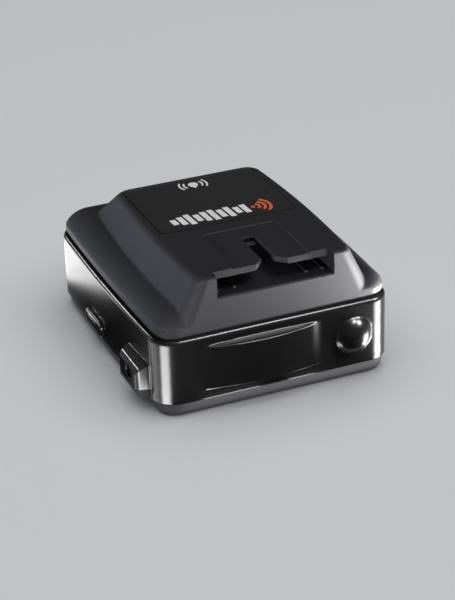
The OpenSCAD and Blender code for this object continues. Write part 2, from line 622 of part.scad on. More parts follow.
module usb_port() color([0.75, 0.75, 0.77]) difference() {
    block([28.6, body_w / 2 - 0.3], [usb_y - usb_w / 2, usb_y + usb_w / 2], [deck_z, deck_z + usb_h]);
    block([29, 50], [usb_y - usb_w / 2 + 0.4, usb_y + usb_w / 2 - 0.4], [deck_z + 0.4, deck_z + usb_h - 0.4]);
}

module usb_tongue() color([0.03, 0.03, 0.03])
    block([29, body_w / 2 - 1.8], [usb_y - 2.2, usb_y + 2.2], [deck_z + 1.5, deck_z + 2.5]);

bottom_cover();
side_band();
front_window();
top_cover();
display_window();
top_label();
rating_label();
case_screws();
main_board();
board_screws();
board_chips();
capacitors();
backup_cell();
horn_antenna();
microwave_board();
microwave_shield();
laser_board();
laser_sensor();
gps_tape();
gps_antenna();
gps_board();
gps_shield();
gps_cable();
speaker_gasket();
speaker_frame();
speaker_cone();
speaker_magnet();
speaker_wires();
display_panel();
display_board();
display_ribbon();
key_board();
key_board_screws();
key_switches();
key_ribbon();
menu_key();
city_key();
dimmer_key();
mute_key();
menu_plunger();
city_plunger();
dimmer_plunger();
mute_plunger();
volume_rocker();
rocker_pin();
rocker_switches();
power_jack();
power_jack_pin();
usb_port();
usb_tongue();
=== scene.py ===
import json
import math

import bmesh
import bpy
import numpy as np
from mathutils import Matrix, Vector

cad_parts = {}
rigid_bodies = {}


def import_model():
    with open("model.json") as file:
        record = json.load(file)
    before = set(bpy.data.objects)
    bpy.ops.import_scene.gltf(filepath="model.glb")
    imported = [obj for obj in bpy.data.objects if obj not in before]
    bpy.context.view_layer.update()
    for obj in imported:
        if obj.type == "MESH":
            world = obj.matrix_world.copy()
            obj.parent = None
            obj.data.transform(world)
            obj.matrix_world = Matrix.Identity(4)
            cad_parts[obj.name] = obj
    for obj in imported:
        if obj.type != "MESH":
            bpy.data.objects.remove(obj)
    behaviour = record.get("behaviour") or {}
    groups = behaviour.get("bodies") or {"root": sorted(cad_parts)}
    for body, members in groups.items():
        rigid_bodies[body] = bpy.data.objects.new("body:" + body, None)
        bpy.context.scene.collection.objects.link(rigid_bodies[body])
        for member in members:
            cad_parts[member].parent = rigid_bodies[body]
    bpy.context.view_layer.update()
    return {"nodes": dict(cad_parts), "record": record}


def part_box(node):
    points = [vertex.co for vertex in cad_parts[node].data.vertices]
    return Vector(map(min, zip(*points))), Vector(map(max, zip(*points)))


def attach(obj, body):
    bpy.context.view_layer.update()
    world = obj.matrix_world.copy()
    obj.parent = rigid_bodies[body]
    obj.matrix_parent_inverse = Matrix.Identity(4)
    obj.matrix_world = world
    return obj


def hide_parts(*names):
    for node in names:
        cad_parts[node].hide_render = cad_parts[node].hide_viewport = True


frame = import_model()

scene = bpy.context.scene
MM = 0.001

# ---- sizes in millimetres ---------------------------------------------------------------------
# The boxes and what follows from them come from the frame. The other sizes follow the CAD's design,
# apart from small departures at visible edges, such as a rim that stands further out.


def box_mm(node):
    lo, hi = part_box(node)
    return lo / MM, hi / MM


band_lo, band_hi = box_mm("side_band")
window_lo, _ = box_mm("front_window")
cover_lo, cover_hi = box_mm("top_cover")
rocker_lo, rocker_hi = box_mm("volume_rocker")
pin_lo, pin_hi = box_mm("power_jack_pin")
usb_lo, usb_hi = box_mm("usb_port")
label_lo, label_hi = box_mm("top_label")
rating_lo, rating_hi = box_mm("rating_label")
speaker_lo, speaker_hi = box_mm("speaker_frame")

BACK_Y = band_hi.y
FRONT_Y = -BACK_Y
HALF_W = band_hi.x
SEAM_Z = band_lo.z
BAND_Z = band_hi.z
TOP_Z = cover_hi.z
AHEAD_Y = FRONT_Y - 5
WALL = 2.0
INNER_TOP_Z = 27.2
LAP_INSET = 2.15
SIDE_BOW = 1.1
FRONT_R = 7.0
REAR_R = 9.0
WINDOW_Y = FRONT_Y + FRONT_R

RIM_Z = BAND_Z + 1.2
RIM_INSET = 1.0
COVER_FRONT_Y = cover_lo.y
COVER_BACK_Y = BACK_Y - RIM_INSET
SHOULDER_RUN = 7.0
SHOULDER_TOP_Z = 31.8
SHOULDER_LOW_Z = 27.4
SHOULDER_POWER = 1.5

PLATEAU_X = 24.2
PLATEAU_BACK_Y = 23.7
HUMP_BOW = 0.0013
HUMP_MID_Y = -12.0
HUMP_FRONT_R = 3.45
HUMP_FRONT_GROWTH = 0.1
HUMP_REAR_R = 4.0
HUMP_REAR_GROWTH = 0.15
SIDE_LEAN = 0.492
BACK_LEAN = 1.114
SIDE_EDGE_R = 2.6
BACK_EDGE_R = 3.0
FRONT_EDGE_R = 0.9

POCKET_HALF = 17.85
POCKET_FLOOR_Z = 35.0
LIP_FRONT_Y = FRONT_Y + 3.4
LIP_UNDER_Z = TOP_Z - 2.1
POCKET_BACK_Y = LIP_FRONT_Y + 24.0
SLOT_HALF = 1.9
SLOT_BACK_Y = FRONT_Y + 21.3
SLOT_END_R = 0.6
LIP_CHAMFER = 3.2
LIP_DRAFT = 0.3
LIP_BEVEL = 0.26
CHAMFER = 0.42
RIB_PLACES = (-16, -11, 11, 16)
RIB_R = 0.25
RIB_BALL_R = 0.58
PAD_HALF = 11.5
PAD_BACK_Y = -16.6
PAD_R = 2
PAD_STEP = 0.3
LABEL_R = 1.8
LABEL_GAP = 0.4
LABEL_STEP = 0.4

BULGE_X = -4.8
BULGE_HALF = 19.0
BULGE_Z = 14.4
BULGE_HALF_H = 6.8
BULGE_OUT = 2.5
BULGE_FADE = 4.5
LEDGE_RUN = 0.8
DOME_X = 23.5
DOME_Z = 14.3
DOME_R = 5.8
DOME_OUT = FRONT_Y - window_lo.y
DOME_FOOT_H = 0.12
DOME_FOOT_RUN = 0.8
BAND_TOP_R = 1.2
BAND_LOW_R = 0.5
SEAM_GAP = 0.08

LABEL_MID_Y = (label_lo.y + label_hi.y) / 2
SOCKET_Y = (pin_lo.y + pin_hi.y) / 2
SOCKET_Z = (pin_lo.z + pin_hi.z) / 2
BOSS_X = -band_lo.x
BOSS_Y = (SOCKET_Y - 6.8, SOCKET_Y + 8.1)
BOSS_SPLIT_Z = 7.05
BOSS_GAP = 0.06
BASE_INSET = 0.95
BASE_R = 2.2
SOCKET_HOLE_R = 2.1
ROCKER_L = 14.4
ROCKER_CROWN = 1.1
ROCKER_SWELL = 0.25
PIVOT_X = -32.2
DISPLAY_HALF = 22.5
DISPLAY_Z = (8.2, 20.6)
CASE_SCREWS = ((-28.5, -15), (28.5, -15), (-28, 31), (28, 31))
SCREW_HOLE_R = 2.6
GRILLE_R = 10
GRILLE_PITCH = 3

KEY_PITCH = 9.4
KEY_W = 7.6
KEY_L = 4.6
KEY_R = 1.1
KEY_LOW = -2.5
KEY_TOP = 0.9
KEY_EDGE_R = 0.7
KEY_CROWN = 0.12
KEY_HOLE_BEVEL = 0.2
KEY_INK = 0.15
INK = 0.04
SLOPE_FOOT_DROP = 13.2
SLOPE_TOP_DROP = 2.2
SLOPE_DROP = 0.38 * SLOPE_FOOT_DROP + 0.62 * SLOPE_TOP_DROP
# Frame of the keys' row: its origin on the rear slope, its z along the slope's normal.
SLOPE = (Matrix.Translation((0, PLATEAU_BACK_Y + BACK_LEAN * SLOPE_DROP, TOP_Z - SLOPE_DROP))
         @ Matrix.Rotation(-math.atan(1 / BACK_LEAN), 4, "X"))

# Steps round an outline: front corner, side, rear corner, back and front.
ARC_FRONT, SIDE, ARC_REAR, BACK, FRONT = 16, 60, 20, 40, 60
COUNTS = (ARC_FRONT, SIDE, ARC_REAR, BACK, FRONT)
SHOULDER_STEPS = 14
FACE_STEPS = 10
FOOT_SOFTENING = 0.7


# ---- mesh helpers -----------------------------------------------------------------------------


def arc(cx, cy, r, start, end, n):
    """Points along an arc without its last one, with angles in degrees."""
    angles = [math.radians(start + (end - start) * i / n) for i in range(n)]
    return [(cx + r * math.cos(a), cy + r * math.sin(a)) for a in angles]


def stretch(p, q, n):
    """Points along a straight line without its last one."""
    return [(p[0] + (q[0] - p[0]) * i / n, p[1] + (q[1] - p[1]) * i / n) for i in range(n)]


def loop_around(half_at, front, back, rf, rb, counts):
    """Closed outline with round corners and sides that follow half_at(y)."""
    nf, ns, nr, nb, nfront = counts
    fy, by = front + rf, back - rb
    fx, bx = half_at(fy), half_at(by)
    ys = [fy + (by - fy) * i / ns for i in range(ns + 1)]
    right = [(half_at(y), y) for y in ys[:-1]]
    left = [(-half_at(y), y) for y in reversed(ys[1:])]
    rear = (arc(bx - rb, by, rb, 0, 90, nr) + stretch((bx - rb, back), (rb - bx, back), nb)
            + arc(rb - bx, by, rb, 90, 180, nr))
    face = arc(rf - fx, fy, rf, 180, 270, nf) + stretch((rf - fx, front), (fx - rf, front), nfront)
    return arc(fx - rf, fy, rf, -90, 0, nf) + right + rear + left + face


def side_x(y):
    """Half the bowed band's width at a depth y."""
    return HALF_W - SIDE_BOW * (y / BACK_Y) ** 2


def body_outline(inset, counts=COUNTS):
    """The band's plan outline, moved inwards."""
    rf, rb = max(FRONT_R - inset, 0.8), max(REAR_R - inset, 0.8)
    return loop_around(lambda y: side_x(y) - inset, FRONT_Y + inset, BACK_Y - inset, rf, rb, counts)


def inset_ring(inset, z):
    return [(x, y, z) for x, y in body_outline(inset)]


def rounded(w, h, r, n=6, cx=0.0, cy=0.0):
    """Rounded rectangle outline."""
    x, y = w / 2 - r, h / 2 - r
    corners = ((x, -y, -90), (x, y, 0), (-x, y, 90), (-x, -y, 180))
    points = [p for px, py, a in corners for p in arc(px, py, r, a, a + 90, n)
              + [(px + r * math.cos(math.radians(a + 90)), py + r * math.sin(math.radians(a + 90)))]]
    return [(cx + px, cy + py) for px, py in points]


def make(name, verts, faces):
    mesh = bpy.data.meshes.new(name)
    mesh.from_pydata([tuple(c * MM for c in v) for v in verts], [], faces)
    mesh.validate()
    ob = bpy.data.objects.new(name, mesh)
    scene.collection.objects.link(ob)
    return ob


def loft(name, rings):
    """Closed solid through rings of equal length, anticlockwise from above, lowest first."""
    n, m = len(rings[0]), len(rings)
    faces = [(k * n + i, k * n + (i + 1) % n, (k + 1) * n + (i + 1) % n, (k + 1) * n + i)
             for k in range(m - 1) for i in range(n)]
    faces += [tuple(reversed(range(n))), tuple((m - 1) * n + i for i in range(n))]
    return make(name, [p for r in rings for p in r], faces)


def hull(name, points):
    """Convex solid round the points, with its flat faces merged."""
    ob = make(name, points, [])
    bm = bmesh.new()
    bm.from_mesh(ob.data)
    bmesh.ops.convex_hull(bm, input=bm.verts)
    bmesh.ops.dissolve_limit(bm, angle_limit=math.radians(1), verts=bm.verts, edges=bm.edges)
    bm.to_mesh(ob.data)
    bm.free()
    return fix_normals(ob)


def corners(x, y, z):
    """The eight corners of a box, from a pair of limits on each axis."""
    return [(a, b, c) for a in x for b in y for c in z]


def prism(name, outline, z0, z1):
    """Solid with one plan outline between two heights."""
    return loft(name, [[(x, y, z0) for x, y in outline], [(x, y, z1) for x, y in outline]])


def block(name, x, y, z):
    """Box between a pair of limits on each axis."""
    return prism(name, [(x[0], y[0]), (x[1], y[0]), (x[1], y[1]), (x[0], y[1])], z[0], z[1])


def rod(name, r, start, end, n=48):
    """Cylinder between two points."""
    a, b = Vector(start), Vector(end)
    turn = (b - a).to_track_quat("Z", "Y")
    ring = arc(0, 0, r, 0, 360, n)
    return loft(name, [[tuple(p + turn @ Vector((x, y, 0))) for x, y in ring] for p in (a, b)])


def moved(ob, matrix):
    """Bakes a matrix in millimetres into the mesh."""
    scaled = matrix.copy()
    scaled.translation = matrix.translation * MM
    ob.data.transform(scaled)
    return ob


def fix_normals(ob):
    bm = bmesh.new()
    bm.from_mesh(ob.data)
    bmesh.ops.recalc_face_normals(bm, faces=bm.faces)
    bm.to_mesh(ob.data)
    bm.free()
    return ob


def bake(ob):
    """Applies every modifier."""
    graph = bpy.context.evaluated_depsgraph_get()
    mesh = bpy.data.meshes.new_from_object(ob.evaluated_get(graph))
    ob.modifiers.clear()
    old = ob.data
    ob.data = mesh
    bpy.data.meshes.remove(old)
    return ob


def combine(ob, others, operation):
    for other in others:
        fix_normals(other)
        mod = ob.modifiers.new("boolean", "BOOLEAN")
        mod.operation = operation
        mod.solver = "EXACT"
        mod.object = other
    bpy.context.view_layer.update()
    bake(ob)
    for other in others:
        bpy.data.objects.remove(other)
    return ob


def cut(ob, *others):
    return combine(fix_normals(ob), others, "DIFFERENCE")


def join(ob, *others):
    return combine(fix_normals(ob), others, "UNION")


def merge_flat(ob, point, normal):
    """Dissolves the edges between faces that lie on one plane, its point given in millimetres."""
    bm = bmesh.new()
    bm.from_mesh(ob.data)
    point, normal = Vector(point) * MM, Vector(normal).normalized()
    level = {v.index: abs((v.co - point).dot(normal)) < 0.0015 * MM for v in bm.verts}
    flat = {f.index: all(level[v.index] for v in f.verts) for f in bm.faces}
    edges = [e for e in bm.edges if len(e.link_faces) == 2 and all(flat[f.index] for f in e.link_faces)]
    bmesh.ops.dissolve_edges(bm, edges=edges, use_verts=False)
    bm.to_mesh(ob.data)
    bm.free()
    return ob


def bevel(ob, width, segments=2, angle=50, where=lambda x, y, z: True):
    """Rounds the edges sharper than an angle whose middle, in millimetres, passes a test."""
    bm = bmesh.new()
    bm.from_mesh(ob.data)
    limit = math.radians(angle)
    edges = [e for e in bm.edges if len(e.link_faces) == 2 and e.calc_face_angle() > limit
             and where(*((e.verts[0].co + e.verts[1].co) / (2 * MM)))]
    bmesh.ops.bevel(bm, geom=edges, offset=width * MM, offset_type="OFFSET", segments=segments,
                    profile=0.5, affect="EDGES", clamp_overlap=False, miter_outer="SHARP")
    bm.to_mesh(ob.data)
    bm.free()
    return ob


def shade(ob, angle=38):
    """Smooth shading with sharp edges above an angle and normals weighted by face area."""
    ob.data.shade_smooth()
    ob.data.set_sharp_from_angle(angle=math.radians(angle))
    mod = ob.modifiers.new("normals", "WEIGHTED_NORMAL")
    mod.keep_sharp = True
    mod.weight = 60
    return bake(ob)


def finish(ob, body, slot, *nodes):
    """Gives a piece its material and body, and the CAD nodes that it stands for."""
    ob.data.materials.clear()
    ob.data.materials.append(material(slot))
    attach(ob, body)
    if nodes:
        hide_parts(*nodes)
    return ob


# ---- materials --------------------------------------------------------------------------------

PAINTS = {
    # slot: colour, roughness, bump height in mm, grain size in mm, metallic
    "top_shell": ((0.0014, 0.0015, 0.0019), 0.27, 0.01, 0.22, 0.0),
    "base_shell": ((0.0085, 0.0088, 0.0095), 0.42, 0.014, 0.22, 0.0),
    "gloss_band": ((0.0002, 0.0002, 0.00024), 0.045, 0.0015, 3.5, 0.0),
    "window": ((0.0001, 0.0001, 0.00012), 0.035, 0.001, 4.0, 0.0),
    "key_cap": ((0.008, 0.0085, 0.0095), 0.34, 0.008, 0.2, 0.0),
    "rocker_cap": ((0.002, 0.002, 0.0023), 0.06, 0.001, 3.0, 0.0),
    "label_film": ((0.0016, 0.0017, 0.0021), 0.3, 0.004, 0.12, 0.0),
    "rating_film": ((0.42, 0.43, 0.44), 0.38, 0.004, 0.15, 0.2),
    "screw_steel": ((0.42, 0.42, 0.43), 0.3, 0.004, 0.3, 1.0),
    "circuit_board": ((0.008, 0.09, 0.035), 0.33, 0.01, 0.8, 0.0),
    "chip_black": ((0.012, 0.012, 0.013), 0.5, 0.008, 0.12, 0.0),
    "can_metal": ((0.6, 0.6, 0.62), 0.28, 0.003, 0.5, 1.0),
    "tin_plate": ((0.58, 0.58, 0.6), 0.26, 0.004, 0.7, 1.0),
    "horn_casting": ((0.5, 0.5, 0.49), 0.42, 0.02, 0.5, 1.0),
    "ceramic": ((0.5, 0.42, 0.31), 0.6, 0.01, 0.2, 0.0),
    "tape_white": ((0.6, 0.6, 0.58), 0.7, 0.02, 0.3, 0.0),
    "foam": ((0.012, 0.012, 0.012), 0.9, 0.05, 0.3, 0.0),
    "frame_steel": ((0.09, 0.09, 0.095), 0.35, 0.005, 0.4, 0.8),
    "cone_paper": ((0.03, 0.03, 0.033), 0.75, 0.02, 0.3, 0.0),
    "magnet": ((0.06, 0.06, 0.065), 0.55, 0.02, 0.3, 0.0),
    "wire_red": ((0.3, 0.015, 0.012), 0.4, 0.004, 0.4, 0.0),
    "wire_black": ((0.01, 0.01, 0.01), 0.45, 0.004, 0.4, 0.0),
    "panel_glass": ((0.003, 0.004, 0.007), 0.08, 0.001, 3.0, 0.0),
    "ribbon_amber": ((0.3, 0.13, 0.025), 0.25, 0.003, 0.6, 0.0),
    "switch_body": ((0.03, 0.03, 0.033), 0.5, 0.008, 0.2, 0.0),
    "socket_black": ((0.012, 0.012, 0.013), 0.35, 0.006, 0.2, 0.0),
    "pin_brass": ((0.72, 0.6, 0.38), 0.22, 0.002, 0.3, 1.0),
    "mark_white": ((0.93, 0.93, 0.93), 0.45, 0.003, 0.1, 0.0),
    "mark_orange": ((0.75, 0.13, 0.035), 0.45, 0.003, 0.1, 0.0),
}

PLASTIC_IOR = 1.46
IORS = {"window": 1.36, "gloss_band": 1.55, "rocker_cap": 1.6, "panel_glass": 1.5}
TONE_GRAIN = 14
SHEEN_GRAIN = 2.5
BUMP_STRENGTH = 0.6


def new_material(name):
    """A new material with its node tree and its shader."""
    mat = bpy.data.materials.new(name)
    mat.use_nodes = True
    return mat, mat.node_tree, mat.node_tree.nodes["Principled BSDF"]


def noise(tree, where, size, detail):
    """Noise in a piece's own space, with its grain size in millimetres."""
    node = tree.nodes.new("ShaderNodeTexNoise")
    node.inputs["Scale"].default_value = 1 / (size * MM)
    node.inputs["Detail"].default_value = detail
    tree.links.new(where.outputs["Object"], node.inputs["Vector"])
    return node.outputs["Fac"]


def blend(tree, factor, first, second):
    """Colour between two others, by a factor socket."""
    node = tree.nodes.new("ShaderNodeMix")
    node.data_type = "RGBA"
    node.inputs["A"].default_value = (*first, 1)
    node.inputs["B"].default_value = (*second, 1)
    tree.links.new(factor, node.inputs["Factor"])
    return node.outputs["Result"]


def material(slot):
    """Procedural plastic, metal or film: tone and roughness drift, and a fine moulded or rolled grain."""
    if slot in bpy.data.materials:
        return bpy.data.materials[slot]
    colour, rough, height, grain, metal = PAINTS[slot]
    mat, tree, shader = new_material(slot)
    shader.inputs["Metallic"].default_value = metal
    shader.inputs["IOR"].default_value = IORS.get(slot, PLASTIC_IOR)
    where = tree.nodes.new("ShaderNodeTexCoord")
    dark, light = [c * 0.86 for c in colour], [min(c * 1.14, 1) for c in colour]
    tone = blend(tree, noise(tree, where, TONE_GRAIN, 3), dark, light)
    tree.links.new(tone, shader.inputs["Base Color"])
    sheen = tree.nodes.new("ShaderNodeMapRange")
    sheen.inputs["To Min"].default_value = rough * 0.85
    sheen.inputs["To Max"].default_value = rough * 1.15
    tree.links.new(noise(tree, where, SHEEN_GRAIN, 4), sheen.inputs["Value"])
    tree.links.new(sheen.outputs["Result"], shader.inputs["Roughness"])
    bump = tree.nodes.new("ShaderNodeBump")
    bump.inputs["Strength"].default_value = BUMP_STRENGTH
    bump.inputs["Distance"].default_value = height * MM
    tree.links.new(noise(tree, where, grain, 2), bump.inputs["Height"])
    tree.links.new(bump.outputs["Normal"], shader.inputs["Normal"])
    return mat


# ---- top cover --------------------------------------------------------------------------------


def edge_round(t, radius, lean):
    """How far a rounded edge falls inside the leaning face at a depth t under the plateau."""
    angle = math.atan2(1, lean)
    if t >= radius * (1 - math.cos(angle)):
        return 0.0
    turn = math.acos(min(1 - t / radius, 1))
    return radius * math.tan(angle / 2) - radius * math.sin(turn) + lean * t


def hump_ring(t, drop=0.0):
    """Plan outline of the hump at a depth t under the plateau."""
    side = PLATEAU_X + SIDE_LEAN * t - edge_round(t, SIDE_EDGE_R, SIDE_LEAN) - drop
    back = PLATEAU_BACK_Y + BACK_LEAN * t - edge_round(t, BACK_EDGE_R, BACK_LEAN) - drop * 0.4
    front = COVER_FRONT_Y + edge_round(t, FRONT_EDGE_R, 0) + drop
    front_r = HUMP_FRONT_R + HUMP_FRONT_GROWTH * t - drop
    rear_r = HUMP_REAR_R + HUMP_REAR_GROWTH * t - drop
    return loop_around(lambda y: side - HUMP_BOW * (y - HUMP_MID_Y) ** 2, front, back,
                       front_r, rear_r, COUNTS)


def rim_outline():
    return loop_around(lambda y: side_x(y) - RIM_INSET, COVER_FRONT_Y, COVER_BACK_Y,
                       FRONT_R - RIM_INSET, REAR_R - RIM_INSET, COUNTS)


def inside_rim(x, y):
    """Distance of a plan point inside the rim's outline."""
    r = (FRONT_R if y < 0 else REAR_R) - RIM_INSET
    middle, half = (COVER_FRONT_Y + COVER_BACK_Y) / 2, (COVER_BACK_Y - COVER_FRONT_Y) / 2
    qx = abs(x) - (side_x(y) - RIM_INSET) + r
    qy = abs(y - middle) - half + r
    return r - math.hypot(max(qx, 0), max(qy, 0)) - min(max(qx, qy), 0)


def shoulder_height(x, y):
    """Height of the shoulder, which rises from the rim and levels off towards the hump."""
    u = min(max(inside_rim(x, y) / SHOULDER_RUN, 0), 1)
    v = (1 - (1 - u) ** SHOULDER_POWER) ** (1 / SHOULDER_POWER)
    return SHOULDER_LOW_Z + (SHOULDER_TOP_Z - SHOULDER_LOW_Z) * v


def softened(points, i, reach):
    """Points of a curve that rounds off corner i of a polyline."""
    a, b, c = (Vector(points[k]) for k in (i - 1, i, i + 1))
    start = b + (a - b) * min(1, reach / max((a - b).length, 1e-6)) * 0.999
    end = b + (c - b) * min(1, reach / max((c - b).length, 1e-6)) * 0.999
    return [tuple((1 - t) ** 2 * start + 2 * t * (1 - t) * b + t * t * end)
            for t in (0, 0.25, 0.5, 0.75, 1)]


def cover_rings():
    """Rings of the top cover's outside, from the rim's lower edge to the plateau."""
    table = {}

    def hump_point(s, z):
        key = round(z, 3)
        if key not in table:
            table[key] = hump_ring(TOP_Z - key)
        return table[key][s]

    columns = [cover_column(place, lambda z, s=s: hump_point(s, z))
               for s, place in enumerate(rim_outline())]
    return [[c[k] for c in columns] for k in range(len(columns[0]))]


def cover_column(place, hump_point):
    """Points from a place on the rim up over the shoulder and the hump's face to the plateau."""
    cx, cy = place
    foot_z = hump_foot(hump_point)
    fx, fy = hump_point(foot_z)
    path = [(cx, cy, RIM_Z), (cx, cy, RIM_Z + 0.6), (cx, cy, SHOULDER_LOW_Z - 0.5)]
    for k in range(SHOULDER_STEPS + 1):
        u = (k / SHOULDER_STEPS) ** 1.7
        x, y = cx + (fx - cx) * u, cy + (fy - cy) * u
        path.append((x, y, shoulder_height(x, y)))
    foot = len(path) - 1
    edge_depths = [SIDE_EDGE_R * (1 - math.cos(a)) for a in np.linspace(math.radians(64), 0, 9)]
    for k in range(1, FACE_STEPS + 1):
        z = foot_z + (TOP_Z - edge_depths[0] - foot_z) * k / FACE_STEPS
        path.append((*hump_point(z), round(z, 3)))
    path[foot:foot + 1] = softened(path, foot, FOOT_SOFTENING)
    return path + [(*hump_point(TOP_Z - t), TOP_Z - t) for t in edge_depths[1:]]


def hump_foot(hump_point):
    """Height at which the hump's face comes out of the shoulder, by halving the gap."""
    low, high = SHOULDER_LOW_Z, TOP_Z - 3
    for _ in range(14):
        mid = (low + high) / 2
        if shoulder_height(*hump_point(mid)) > mid:
            low = mid
        else:
            high = mid
    return low


def key_places():
    """Where the four keys stand along the rear slope, from -x to +x."""
    return [KEY_PITCH * i for i in (-1.5, -0.5, 0.5, 1.5)]


def key_frame(x):
    """Frame of one key, with its origin on the rear slope's surface."""
    return SLOPE @ Matrix.Translation((x, 0, 0))


def top_cover():
    ob = loft("top_cover_shell", cover_rings())
    merge_flat(ob, (0, COVER_FRONT_Y, 0), (0, 1, 0))
    merge_flat(ob, SLOPE.translation, SLOPE.col[2].xyz)
    hollow_cover(ob)
    cut(ob, recess("pad", pad_outline, PAD_STEP), recess("label", label_outline, LABEL_STEP))
    cut_pocket(ob)
    hole = rounded(KEY_W + 0.5, KEY_L + 0.5, 1.2)
    cut(ob, *[moved(prism("hole", hole, -6, 6), key_frame(x)) for x in key_places()])
    for x in RIB_PLACES:
        join(ob, guide_rib(x))
    bevel(ob, LIP_BEVEL, 3, 55, on_lips)
    bevel(ob, KEY_HOLE_BEVEL, 3, 55, on_slope)
    chamfer_edges(ob)
    return finish(shade(ob), "case", "top_shell", "top_cover")


def hollow_cover(ob):
    """Adds the lap into the band, hollows the cover, and puts back a block for the pocket."""
    join(ob, loft("lap", [inset_ring(LAP_INSET, BAND_Z - 2), inset_ring(LAP_INSET, RIM_Z + 1)]))
    inner = [inset_ring(3.6, RIM_Z - 4), inset_ring(3.6, INNER_TOP_Z)]
    hollow = [[(x, y, TOP_Z - t - WALL) for x, y in hump_ring(t, WALL)] for t in (16, 3.2, 1.2, 0.5, 0)]
    cut(ob, loft("inner", inner), loft("hollow", hollow))
    wall = 1.5
    join(ob, block("pocket_wall", (-POCKET_HALF - wall, POCKET_HALF + wall),
                   (COVER_FRONT_Y + 1, POCKET_BACK_Y + wall), (POCKET_FLOOR_Z - wall, TOP_Z - 1)))


def cut_pocket(ob):
    """Cuts the room under the lips, the open mouth with the lips' leaning faces, and the slot."""
    cut(ob, block("under_lips", (-POCKET_HALF, POCKET_HALF), (AHEAD_Y, POCKET_BACK_Y),
                  (POCKET_FLOOR_Z, LIP_UNDER_Z)))
    mouth = [[(x, y, z) for x, y in mouth_outline(z)] for z in (POCKET_FLOOR_Z, LIP_UNDER_Z, TOP_Z + 2)]
    cut(ob, loft("mouth", mouth))
    cut(ob, prism("slot", slot_outline(), LIP_UNDER_Z - 0.5, TOP_Z + 2))


def mouth_outline(z):
    """Plan of the pocket's open mouth at a height, from ahead of the cover to the lips' faces."""
    lip_y = LIP_FRONT_Y + LIP_DRAFT * max(z - LIP_UNDER_Z, 0)
    return [(-POCKET_HALF, AHEAD_Y), (POCKET_HALF, AHEAD_Y), (POCKET_HALF, lip_y), (-POCKET_HALF, lip_y)]


def on_lips(x, y, z):
    return z > POCKET_FLOOR_Z + 0.1 and y < POCKET_BACK_Y - 1 and abs(x) < POCKET_HALF - 0.1


def on_slope(x, y, z):
    return abs((SLOPE.inverted() @ Vector((x, y, z))).z) < 0.1 and z < TOP_Z - 1


def chamfer_edges(ob):
    """Chamfers the front edge of the pocket's floor and the slot's right edge."""
    pad_z = TOP_Z - PAD_STEP
    front = [(x, COVER_FRONT_Y, POCKET_FLOOR_Z) for x in (-POCKET_HALF, POCKET_HALF)]
    slot = [(SLOT_HALF, y, pad_z) for y in (LIP_FRONT_Y + LIP_CHAMFER, SLOT_BACK_Y - SLOT_END_R)]
    cut(ob, edge_wedge(front, (0, -1, 0)), edge_wedge(slot, (-1, 0, 0)))


def edge_wedge(ends, out):
    """Cutter for a flat chamfer along a straight edge between a wall that faces out and a level top."""
    out, up = Vector(out), Vector((0, 0, 1))
    corner = [out - up * (CHAMFER + 1), out + up, up - out * (CHAMFER + 1)]
    return hull("wedge", [tuple(Vector(end) + c) for end in ends for c in corner])


def guide_rib(x):
    """Low rib along the pocket's floor with a ball at its front end."""
    front, back = LIP_FRONT_Y + 1, POCKET_BACK_Y - 2
    nose = [(front + RIB_BALL_R * (1 - math.cos(a)), RIB_BALL_R * math.sin(a))
            for a in np.linspace(0.15, 2.65, 11)]
    rings = [[(x + px, y, POCKET_FLOOR_Z + pz) for px, pz in arc(0, 0, size, 0, 360, 16)]
             for y, size in nose + [(back, RIB_R)]]
    return loft("rib", rings)


def slot_outline():
    chamfer = [(SLOT_HALF + LIP_CHAMFER, LIP_FRONT_Y - 0.5), (SLOT_HALF + LIP_CHAMFER, LIP_FRONT_Y),
               (SLOT_HALF, LIP_FRONT_Y + LIP_CHAMFER)]
    end = arc(SLOT_HALF - SLOT_END_R, SLOT_BACK_Y - SLOT_END_R, SLOT_END_R, 0, 90, 5)
    half = chamfer + end + [(SLOT_HALF - SLOT_END_R, SLOT_BACK_Y)]
    return half + [(-x, y) for x, y in reversed(half)]


def pad_outline(grow):
    x, y, r = PAD_HALF - PAD_R, PAD_BACK_Y - PAD_R, PAD_R + grow
    half = [(x + r, AHEAD_Y)] + arc(x, y, r, 0, 90, 8) + [(x, y + r)]
    return half + [(-x, y) for x, y in reversed(half)]


def label_outline(grow):
    w, h = label_hi.x - label_lo.x + LABEL_GAP, label_hi.y - label_lo.y + LABEL_GAP
    return rounded(w + 2 * grow, h + 2 * grow, LABEL_R + grow, 8, 0, LABEL_MID_Y)


def recess(name, outline, step):
    """Cutter for a shallow step with a sloped edge from the plateau down to its floor."""
    edges = ((0, step), (step, 0))
    solid = [[(x, y, TOP_Z - drop) for x, y in outline(grow)] for grow, drop in edges]
    return loft(name, solid + [[(x, y, TOP_Z + 2) for x, y in outline(step + 0.05)]])


# ---- glossy band and front window -------------------------------------------------------------


def quarter(r, n):
    """Steps in and back round a quarter turn of an edge, from the upright wall to the level face."""
    return [(r * (1 - math.cos(a)), r * (1 - math.sin(a))) for a in np.linspace(0, math.pi / 2, n)]


def edge_profile(levels):
    """(inset, z) profile of the band's wall, from the inside's lower edge up round the outside."""
    low = [(inset, SEAM_Z + rest) for inset, rest in quarter(BAND_LOW_R, 5)]
    top = [(inset, BAND_Z - rest) for inset, rest in quarter(BAND_TOP_R, 9)]
    outer = list(reversed(low)) + [(0, z) for z in levels] + top
    return [(WALL, SEAM_Z)] + outer + [(WALL, BAND_Z)]


def wall_levels(n):
    """Heights up the band's upright wall, between its rounded edges."""
    return np.linspace(SEAM_Z + 1, BAND_Z - 1.6, n)


def stations(profile, first, last, counts):
    """The profile at each outline point from first to last, wrapping round."""
    outlines = {inset: body_outline(inset, counts) for inset, _ in profile}
    n = len(outlines[0])
    return [[(*outlines[inset][i % n], z) for inset, z in profile] for i in range(first, last + 1)]


